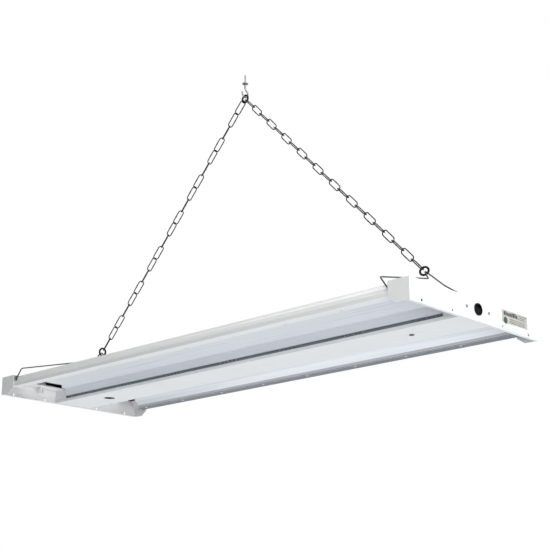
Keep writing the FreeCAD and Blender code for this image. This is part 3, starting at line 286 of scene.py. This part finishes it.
WHITE = (0.86, 0.86, 0.85)
MATERIALS = {
    "white_steel": powder_coat("white_steel", WHITE, 0.36),
    "bracket_steel": powder_coat("bracket_steel", (0.80, 0.81, 0.82), 0.42),
    "reflector_white": reflector_paint(),
    "cover_white": powder_coat("cover_white", (0.86, 0.86, 0.86), 0.34),
    # Painted shade: the hanger wire's base colours are far darker than plain plating, partly its
    # own dark finish and partly painted dark reflections of surroundings the white room lacks.
    "hanger_wire": plated_wire("hanger_wire", (0.10, 0.095, 0.084), (0.045, 0.042, 0.038),
                               0.32, 0.0010),
    "black_ring": black_enamel(),
    # Painted shade: the chain's base colours are near-black, partly its own dark finish and partly
    # painted dark reflections of surroundings the white room lacks.
    "chain_steel": plated_wire("chain_steel", (0.060, 0.058, 0.055), (0.025, 0.024, 0.022),
                               0.30, 0.0012),
    "hook_steel": plated_wire("hook_steel", (0.50, 0.49, 0.47), (0.34, 0.33, 0.31),
                              0.34, 0.0012),
    "holder_plastic": moulded("holder_plastic", (0.84, 0.84, 0.82), 0.42),
    "contact_brass": brass(),
    "ballast_steel": powder_coat("ballast_steel", (0.72, 0.72, 0.70), 0.4),
    "board_green": circuit_board(),
    "component_dark": moulded("component_dark", (0.03, 0.03, 0.035), 0.35),
    "terminal_white": moulded("terminal_white", (0.82, 0.82, 0.80), 0.36),
    "screw_steel": plated_fastener(),
    "rivet_aluminium": rivet_metal(),
    "switch_black": moulded("switch_black", (0.003, 0.003, 0.0035), 0.34, Specular_IOR_Level=0.04),
    "label_film": label_film(),
    "sticker_green": ink("sticker_green", (0.002, 0.10, 0.008)),
    "lead_white": insulation("lead_white", (0.80, 0.80, 0.78)),
    "lead_black": insulation("lead_black", (0.02, 0.02, 0.02)),
    "lead_green": insulation("lead_green", (0.03, 0.26, 0.06)),
}
SLOT_OF = {item["node"]: item["material_slot"] for item in frame["record"]["subparts"]}


def paint(thing, material):
    """Gives the whole of thing one material."""
    thing.data.materials.clear()
    thing.data.materials.append(material)


def coat_faces(thing, coat, chosen):
    """Gives another finish to the faces that chosen(centre, normal) picks."""
    thing.data.materials.append(coat)
    for face in thing.data.polygons:
        if chosen(face.center, face.normal):
            face.material_index = len(thing.data.materials) - 1


WELD_REACH, BEVEL_STEPS, SHARP_EDGE = 0.02 * MM, 2, math.radians(40)


def soften(thing, width):
    """Rounds the edges of a folded or moulded piece."""
    weld = thing.modifiers.new("weld", "WELD")
    weld.merge_threshold = WELD_REACH
    bevel = thing.modifiers.new("edges", "BEVEL")
    bevel.width = width
    bevel.segments = BEVEL_STEPS
    bevel.limit_method = "ANGLE"
    bevel.angle_limit = SHARP_EDGE
    bevel.harden_normals = True


# Painted shade: a near-black coat inside the housing and behind the reflectors.
INNER_PAINTED_SHADE = inner_painted_shade()
# Painted shade: dark grey under the rear lip, which faces away from the light.
REAR_LIP_SHADE = powder_coat("rear_lip_shade", (0.17, 0.19, 0.21), 0.45)
# Painted shade: dark bluish grey in the shadowed recess along each side of the cover.
RECESS_SHADE = powder_coat("recess_shade", (0.20, 0.23, 0.26), 0.45)
# Painted shadow: grey on the reflectors' first bend above the flange, drawn as the seam's shadow
# line.
SEAM_SHADOW = powder_coat("seam_shadow", (0.42, 0.43, 0.45), 0.45)
STUD_STEEL = plated_wire("stud_steel", (0.16, 0.16, 0.17), (0.07, 0.07, 0.075), 0.34, 0.0008)

# Widths of the rounded edges.
SHEET_EDGE, CAP_EDGE, MOULDED_EDGE = 0.22 * MM, 0.4 * MM, 0.5 * MM
# How far the painted shade inside the housing reaches below the roof, and the painted shade of the
# rear lip above the lip's underside.
ROOF_REACH, LIP_REACH = 4 * MM, 0.5 * MM
# Height of the reflector's flange above the lip's underside, and of its first bend above that.
FLANGE_RISE, FIRST_BEND = 1.1 * MM, 4 * MM
# Depth of the recess along each side of the cover, and height of the shoulder below it.
RECESS_DEPTH, SHOULDER = 4.3 * MM, 6 * MM


def coat_sheets():
    """Painted shade on parts of the sheets: inside, under the rear lip, in seam and recess."""
    lip, roof = (corner[2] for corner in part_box("housing"))
    # Painted shade: near-black on the underside of the housing's roof, which shows through the
    # openings.
    coat_faces(nodes["housing"], INNER_PAINTED_SHADE,
               lambda centre, normal: centre.z > roof - ROOF_REACH and normal.z < -0.5)
    # Painted shade: dark grey on the underside of the rear lip.
    coat_faces(nodes["housing"], REAR_LIP_SHADE,
               lambda centre, normal: centre.z < lip + LIP_REACH and centre.y > 0
               and normal.z < -0.5)
    flange = lip + FLANGE_RISE
    for row in ROWS:
        # Painted shade: near-black on the reflectors' back faces and along their flange, drawn as
        # the seam line.
        coat_faces(nodes[row + "_reflector"], INNER_PAINTED_SHADE,
                   lambda centre, normal: normal.z > 0.3 or abs(centre.z - flange) < 0.1 * MM)
        # Painted shadow: grey on the first bend above the flange, as the seam's shadow line.
        coat_faces(nodes[row + "_reflector"], SEAM_SHADOW,
                   lambda centre, normal: flange < centre.z < flange + FIRST_BEND
                   and -0.85 < normal.z < -0.7)
    low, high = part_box("ballast_cover")
    recess = high[1] - RECESS_DEPTH
    # Painted shade: dark on the recess walls along the cover's sides, under the reflector's hem.
    coat_faces(nodes["ballast_cover"], RECESS_SHADE,
               lambda centre, normal: abs(abs(centre.y) - recess) < 0.3 * MM
               and centre.y * normal.y > 0 and centre.z > low[2] + SHOULDER)


for node, thing in nodes.items():
    paint(thing, MATERIALS[SLOT_OF[node]])
paint(nodes["cover_fastener"], STUD_STEEL)
coat_sheets()
for node in ("housing", "ballast_cover", "front_reflector", "rear_reflector"):
    soften(nodes[node], SHEET_EDGE)
for end in ENDS:
    soften(nodes[end + "_end_cap"], CAP_EDGE)
for node in ("power_switch", "switch_rocker", "cord_bushing"):
    soften(nodes[node], MOULDED_EDGE)


# ---------------------------------------------------------------- pieces in mesh code

def new_piece(name, body, slot, replaced, build, material=None):
    """A mesh that build(bm) fills, riding on a body and standing for CAD nodes."""
    bm = bmesh.new()
    build(bm)
    bmesh.ops.recalc_face_normals(bm, faces=bm.faces)
    mesh = bpy.data.meshes.new(name)
    bm.to_mesh(mesh)
    bm.free()
    for face in mesh.polygons:
        face.use_smooth = True
    mesh.set_sharp_from_angle(angle=math.radians(38))
    piece = bpy.data.objects.new(name, mesh)
    bpy.context.scene.collection.objects.link(piece)
    mesh.materials.append(material or MATERIALS[slot])
    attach(piece, body)
    if replaced:
        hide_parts(*replaced)
    return piece


def islands(node):
    """The separate solids of a CAD node, each as an array of its corner points."""
    bm = bmesh.new()
    bm.from_mesh(nodes[node].data)
    bmesh.ops.remove_doubles(bm, verts=bm.verts, dist=0.01 * MM)
    seen = set()
    found = []
    for start in bm.verts:
        if start in seen:
            continue
        seen.add(start)
        stack, points = [start], []
        while stack:
            vert = stack.pop()
            points.append(vert.co[:])
            for edge in vert.link_edges:
                other = edge.other_vert(vert)
                if other not in seen:
                    seen.add(other)
                    stack.append(other)
        found.append(np.array(points))
    bm.free()
    return found


def bridge(bm, rings, closed=True):
    """Quads between successive rings of vertices."""
    pairs = list(zip(rings, rings[1:] + (rings[:1] if closed else [])))
    for first, second in pairs:
        for index in range(len(first)):
            following = (index + 1) % len(first)
            bm.faces.new((first[index], first[following], second[following], second[index]))


def turned(bm, profile, place, segments=28):
    """A turned solid: profile runs from axis to axis as (radius, height)."""
    rings = []
    for radius, height in profile[1:-1]:
        rings.append([bm.verts.new(place @ Vector((
            radius * math.cos(2 * math.pi * step / segments),
            radius * math.sin(2 * math.pi * step / segments), height)))
            for step in range(segments)])
    bridge(bm, rings, closed=False)
    for ring, (_, height) in ((rings[0], profile[0]), (rings[-1], profile[-1])):
        tip = bm.verts.new(place @ Vector((0.0, 0.0, height)))
        for index in range(segments):
            bm.faces.new((tip, ring[index], ring[(index + 1) % segments]))


def aimed(centre, direction):
    """A frame at centre whose Z points along direction."""
    turn = Vector(direction).to_track_quat("Z", "Y").to_matrix().to_4x4()
    return Matrix.Translation(Vector(centre)) @ turn


# ---------------------------------------------------------------- chains

# Corners round the wire, and stations along half a straight side and round a bend.
LINK_SIDES, HALF_STRAIGHT_STEPS, BEND_STEPS = 12, 5, 12
# The weld bead's swell, as a part of the wire's radius, and its reach along the wire.
BEAD_SWELL, BEAD_LENGTH = 0.24, 1.9 * MM
# The drawn wire is a little thicker than the model's and not quite even.
WIRE_SWELL, WIRE_UNEVENNESS = 1.08, 0.012


def link_axes(points):
    """Centre, lengthwise, sideways and square directions of a link, and its extents."""
    middle = points.mean(axis=0)
    axes = np.linalg.svd(points - middle, full_matrices=False)[2]
    reach = (points - middle) @ axes.T
    low, high = reach.min(axis=0), reach.max(axis=0)
    centre = middle + ((low + high) / 2) @ axes
    return centre, axes, high - low


def link_stations(half, bend):
    """Points round a link's centre line: along, across, turn, and the straight side it is on."""
    straight = [half * step / HALF_STRAIGHT_STEPS
                for step in range(-HALF_STRAIGHT_STEPS, HALF_STRAIGHT_STEPS)]
    turns = [math.pi * step / BEND_STEPS for step in range(BEND_STEPS)]
    for side, start in ((1.0, 0.0), (-1.0, math.pi)):
        for along in straight:
            yield side * along, side * bend, start, side
        for turn in turns:
            yield (side * (half + bend * math.sin(turn)), side * bend * math.cos(turn),
                   start + turn, side)


def add_link(bm, points):
    """A link bent from drawn wire, a little uneven, with the weld bead on one straight side."""
    centre, axes, extent = link_axes(points)
    wire = extent[2] / 2
    bend = extent[1] / 2 - wire
    half = extent[0] / 2 - wire - bend
    wire *= WIRE_SWELL
    bead_side = dice.choice((-1, 1))
    rings = []
    for along, across, turn, side in link_stations(half, bend):
        swell = 0.0
        if side == bead_side and abs(along) < half:
            swell = BEAD_SWELL * math.exp(-(along / BEAD_LENGTH) ** 2)
        outward = np.array([math.sin(turn), math.cos(turn), 0.0])
        ring = []
        for corner in range(LINK_SIDES):
            angle = 2 * math.pi * corner / LINK_SIDES
            uneven = 1.0 + dice.uniform(-WIRE_UNEVENNESS, WIRE_UNEVENNESS)
            radius = wire * (1.0 + swell) * uneven
            local = np.array([along, across, 0.0]) + outward * radius * math.cos(angle)
            local[2] += radius * math.sin(angle)
            ring.append(bm.verts.new(centre + local @ axes))
        rings.append(ring)
    bridge(bm, rings)


def make_chain(end):
    """The links of one chain, each in the place of a solid of the CAD chain."""
    links = islands(end + "_chain")
    new_piece(end + "_chain_links", "chains", "chain_steel", [end + "_chain"],
              lambda bm: [add_link(bm, points) for points in links])


# ---------------------------------------------------------------- rivets and screws

# The screws' pan head, the shank of screws and rivets, and the screws' thread.
HEAD_RADIUS, HEAD_HEIGHT = 3.0 * MM, 1.6 * MM
SHANK_RADIUS, THREAD_PITCH = 1.58 * MM, 0.8 * MM


def rivet(bm, points):
    """Pop rivet: domed head below with the broken mandrel's pit, a shank and a set tail above."""
    low, high = points.min(axis=0), points.max(axis=0)
    centre = ((low[0] + high[0]) / 2, (low[1] + high[1]) / 2, low[2])
    head, depth = (high[0] - low[0]) / 2, high[2] - low[2]
    pit = [(0, 0.45 * MM), (0.5 * MM, 0.42 * MM), (0.75 * MM, 0.06 * MM), (1.1 * MM, 0.0)]
    dome = [(0.75 * head, 0.16 * MM), (0.95 * head, 0.5 * MM), (head, 0.78 * MM),
            (head, 0.88 * MM)]
    shank = [(SHANK_RADIUS, 0.9 * MM), (SHANK_RADIUS, depth - 1.0 * MM)]
    tail = [(2.1 * MM, depth - 0.8 * MM), (2.0 * MM, depth - 0.25 * MM),
            (1.2 * MM, depth - 0.02 * MM), (0, depth)]
    turned(bm, pit + dome + shank + tail, Matrix.Translation(Vector(centre)), 24)


def linked(name, bm):
    """An object of the scene that takes bm's mesh; bm is freed."""
    bmesh.ops.recalc_face_normals(bm, faces=bm.faces)
    mesh = bpy.data.meshes.new(name)
    bm.to_mesh(mesh)
    bm.free()
    made = bpy.data.objects.new(name, mesh)
    bpy.context.scene.collection.objects.link(made)
    return made


def screw_blank(radius, height):
    """Domed pan head standing on Z = 0."""
    bm = bmesh.new()
    dome = [(0, 0.0), (0.9 * radius, 0.0), (radius, 0.12 * height), (radius, 0.42 * height)]
    dome += [(radius * math.cos(a), height * (0.42 + 0.58 * math.sin(a)))
             for a in (math.radians(20 * step) for step in range(1, 5))]
    dome.append((0, height))
    turned(bm, dome, Matrix.Identity(4), 32)
    return linked("screw_blank", bm)


def cross_cutter(radius, height):
    """Two crossed bars that taper downwards."""
    bm = bmesh.new()
    for turn in (0, math.pi / 2):
        for vert in bmesh.ops.create_cube(bm, size=1.0)["verts"]:
            above = vert.co.z > 0
            taper = radius * (1.0 if above else 0.55)
            vert.co = Vector((vert.co.x * 1.15 * taper, vert.co.y * 0.26 * taper,
                              (1.3 if above else 0.25) * height))
            vert.co.rotate(Matrix.Rotation(turn, 3, "Z"))
    return linked("cross_cutter", bm)


def screw_head_template():
    """Mesh of a pan head with a cross recess cut in it."""
    blank = screw_blank(HEAD_RADIUS, HEAD_HEIGHT)
    cutter = cross_cutter(HEAD_RADIUS, HEAD_HEIGHT)
    recess = blank.modifiers.new("recess", "BOOLEAN")
    recess.object = cutter
    recess.solver = "EXACT"
    recess.use_self = True
    view = bpy.context.evaluated_depsgraph_get()
    finished = bpy.data.meshes.new_from_object(blank.evaluated_get(view))
    for item in (blank, cutter):
        bpy.data.objects.remove(item)
    return finished


def seat_of(points):
    """Where a CAD screw's head sits, the way it faces, and the length of the shank."""
    low, high = points.min(axis=0), points.max(axis=0)
    extent, middle = high - low, (low + high) / 2
    axis = int(np.argmax(extent))
    spread = np.delete(np.abs(points - middle), axis, axis=1).max(axis=1)
    head_side = points[spread > 0.8 * spread.max()][:, axis].mean()
    direction = np.zeros(3)
    direction[axis] = 1.0 if head_side > middle[axis] else -1.0
    seat = middle + direction * (extent[axis] / 2 - HEAD_HEIGHT)
    return seat, direction, extent[axis] - HEAD_HEIGHT


def add_screw(bm, points, template):
    """The template's head and a threaded shank where a CAD screw stands."""
    seat, direction, length = seat_of(points)
    place = aimed(seat, direction) @ Matrix.Rotation(dice.uniform(0, math.pi), 4, "Z")
    start = len(bm.verts)
    bm.from_mesh(template)
    bm.verts.ensure_lookup_table()
    for vert in bm.verts[start:]:
        vert.co = place @ vert.co
    thread = [(0, 0.0), (SHANK_RADIUS, 0.0)]
    for turn in range(int(length / THREAD_PITCH)):
        level = -turn * THREAD_PITCH
        thread.append((SHANK_RADIUS, level - 0.3 * THREAD_PITCH))
        thread.append((0.78 * SHANK_RADIUS, level - 0.65 * THREAD_PITCH))
    thread.append((0, -length))
    turned(bm, thread, place, 20)


def make_fasteners():
    """Cross-head screws on both end caps and pop rivets on both reflectors."""
    template = screw_head_template()
    for end in ENDS:
        screws = islands(end + "_cap_screws")
        new_piece(end + "_cap_cross_screws", "fixture", "screw_steel", [end + "_cap_screws"],
                  lambda bm: [add_screw(bm, points, template) for points in screws])
    for row in ROWS:
        rivets = islands(row + "_reflector_rivets")
        new_piece(row + "_pop_rivets", "fixture", "rivet_aluminium", [row + "_reflector_rivets"],
                  lambda bm: [rivet(bm, points) for points in rivets])


# ---------------------------------------------------------------- label

# Places in fractions of the label's width and height; each line is its level, start and end.
HEADING_LEVEL, HEADING_START, HEADING_END = 0.58, 0.07, 0.60
SIDE_LINES = ((0.84, 0.66, 0.94), (0.71, 0.66, 0.88), (0.58, 0.64, 0.92))
LOWER_LINES = ((0.36, 0.30, 0.9), (0.22, 0.30, 0.9), (0.10, 0.30, 0.9))
LINE_HEIGHT = 0.045
INK_DEPTH = 0.03 * MM


def heading_marks():
    """Thick uneven bars, as (across, up, width, height) in fractions of the label."""
    place = HEADING_START
    while place < HEADING_END:
        step = dice.uniform(0.035, 0.075)
        yield place, HEADING_LEVEL + dice.uniform(-0.02, 0.02), step * 0.8, dice.uniform(0.24, 0.36)
        place += step


def line_marks(lines, shortest, longest, filled):
    """Thin lines broken into dashes from shortest to longest, filled being the inked part."""
    for level, start, end in lines:
        place = start
        while place < end:
            step = dice.uniform(shortest, longest)
            yield place, level, step * filled, LINE_HEIGHT
            place += step


def make_label_print():
    """Plain printed blocks and lines on the rating label, in place of any wording."""
    low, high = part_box("rating_label")
    face, film = high[0], INK_DEPTH
    width, height = high[1] - low[1], high[2] - low[2]
    marks = [*heading_marks(), *line_marks(SIDE_LINES, 0.02, 0.07, 0.8),
             *line_marks(LOWER_LINES, 0.02, 0.06, 0.75)]

    def build(bm):
        for across, up, wide, tall in marks:
            y, z = low[1] + across * width, low[2] + up * height
            corners = [(y, z), (y + wide * width, z), (y + wide * width, z + tall * height),
                       (y, z + tall * height)]
            front = [bm.verts.new((face + film, *corner)) for corner in corners]
            back = [bm.verts.new((face + 0.2 * film, *corner)) for corner in corners]
            bm.faces.new(front)
            bm.faces.new(back[::-1])
            bridge(bm, [front, back], closed=False)

    new_piece("label_print", "fixture", "component_dark", [], build,
              ink("label_ink", (0.02, 0.02, 0.022)))


for end in ENDS:
    make_chain(end)
make_fasteners()
make_label_print()


# ---------------------------------------------------------------- stage, light and camera

# Radiance of the room from each side, blended by the squared parts of the direction.
ROOM = {
    "+X": (0.98, 0.96, 0.95), "-X": (0.30, 0.34, 0.36), "+Y": (1.24, 1.45, 1.66),
    "-Y": (0.06, 0.06, 0.06), "+Z": (0.02, 0.02, 0.02), "-Z": (0.8, 0.8, 0.8),
}


def make_world():
    """A soft room whose walls differ in brightness, seen by the camera as plain white."""
    world = bpy.data.worlds.new("studio")
    bpy.context.scene.world = world
    world.use_nodes = True
    tree = world.node_tree
    tree.nodes.clear()

    def add(kind, **settings):
        made = tree.nodes.new(kind)
        for key, value in settings.items():
            setattr(made, key, value)
        return made

    split = add("ShaderNodeSeparateXYZ")
    tree.links.new(add("ShaderNodeTexCoord").outputs["Generated"], split.inputs[0])
    total = None
    for side, radiance in ROOM.items():
        part = add("ShaderNodeMath", operation="MULTIPLY", use_clamp=True)
        tree.links.new(split.outputs[side[1]], part.inputs[0])
        part.inputs[1].default_value = 1.0 if side[0] == "+" else -1.0
        square = add("ShaderNodeMath", operation="POWER")
        tree.links.new(part.outputs[0], square.inputs[0])
        square.inputs[1].default_value = 2.0
        scaled = add("ShaderNodeVectorMath", operation="SCALE")
        scaled.inputs[0].default_value = radiance
        tree.links.new(square.outputs[0], scaled.inputs["Scale"])
        if total is None:
            total = scaled.outputs[0]
        else:
            joined = add("ShaderNodeVectorMath", operation="ADD")
            tree.links.new(total, joined.inputs[0])
            tree.links.new(scaled.outputs[0], joined.inputs[1])
            total = joined.outputs[0]
    room = add("ShaderNodeBackground")
    tree.links.new(total, room.inputs["Color"])
    plain = add("ShaderNodeBackground")
    plain.inputs["Color"].default_value = (1, 1, 1, 1)
    chosen = add("ShaderNodeMixShader")
    tree.links.new(add("ShaderNodeLightPath").outputs["Is Camera Ray"], chosen.inputs[0])
    tree.links.new(room.outputs[0], chosen.inputs[1])
    tree.links.new(plain.outputs[0], chosen.inputs[2])
    tree.links.new(chosen.outputs[0], add("ShaderNodeOutputWorld").inputs["Surface"])


def make_softbox(name, place, aim, extent, power):
    """A large rectangular white lamp that the camera doesn't see."""
    data = bpy.data.lights.new(name, "AREA")
    data.shape = "RECTANGLE"
    data.size, data.size_y = extent
    data.energy = power
    lamp = bpy.data.objects.new(name, data)
    lamp.location = place
    lamp.rotation_euler = (Vector(aim) - Vector(place)).to_track_quat("-Z", "Y").to_euler()
    lamp.visible_camera = False
    bpy.context.scene.collection.objects.link(lamp)


def make_floor():
    """A pale floor well below the lamp."""
    mesh = bpy.data.meshes.new("floor")
    half, level = 12.0, -4.2
    mesh.from_pydata([(-half, -half, level), (half, -half, level), (half, half, level),
                      (-half, half, level)], [], [(0, 1, 2, 3)])
    floor = bpy.data.objects.new("floor", mesh)
    bpy.context.scene.collection.objects.link(floor)
    surface = Surface("floor_paint", Roughness=0.7)
    cloud = surface.span(surface.noise(1.5, 3.0), 0.3, 0.7, 0.0, 1.0)
    surface.set(Base_Color=surface.mixed(cloud, (0.88, 0.88, 0.87), (0.85, 0.85, 0.84)))
    paint(floor, surface.material)


def make_camera():
    """Low and to the right of the lamp, looking up along it."""
    data = bpy.data.cameras.new("camera")
    data.sensor_width = 36.0
    data.lens = 77.46
    data.clip_start, data.clip_end = 0.05, 100.0
    camera = bpy.data.objects.new("camera", data)
    camera.location = (1.755, -1.750, -1.219)
    camera.rotation_euler = (math.radians(107.01), 0.0, math.radians(43.5))
    bpy.context.scene.collection.objects.link(camera)
    bpy.context.scene.camera = camera


make_world()
make_softbox("top_light", (0.5, 0.1, 1.2), (0.3, 0.0, -0.6), (2.0, 2.0), 38)
make_softbox("front_light", (1.5, -2.2, 0.3), (0.4, 0.0, -0.6), (1.4, 1.4), 24)
make_softbox("under_light", (0.3, -0.2, -2.6), (0.0, 0.0, -0.6), (2.4, 1.6), 14)
make_softbox("low_light", (2.8, -0.9, -1.3), (-0.6, 0.0, -0.65), (1.0, 0.8), 34)
make_softbox("under_left_light", (-1.2, 0.6, -2.2), (-0.3, 0.0, -0.6), (1.6, 1.6), 10)
make_floor()
make_camera()
bpy.context.scene.view_settings.view_transform = "Standard"
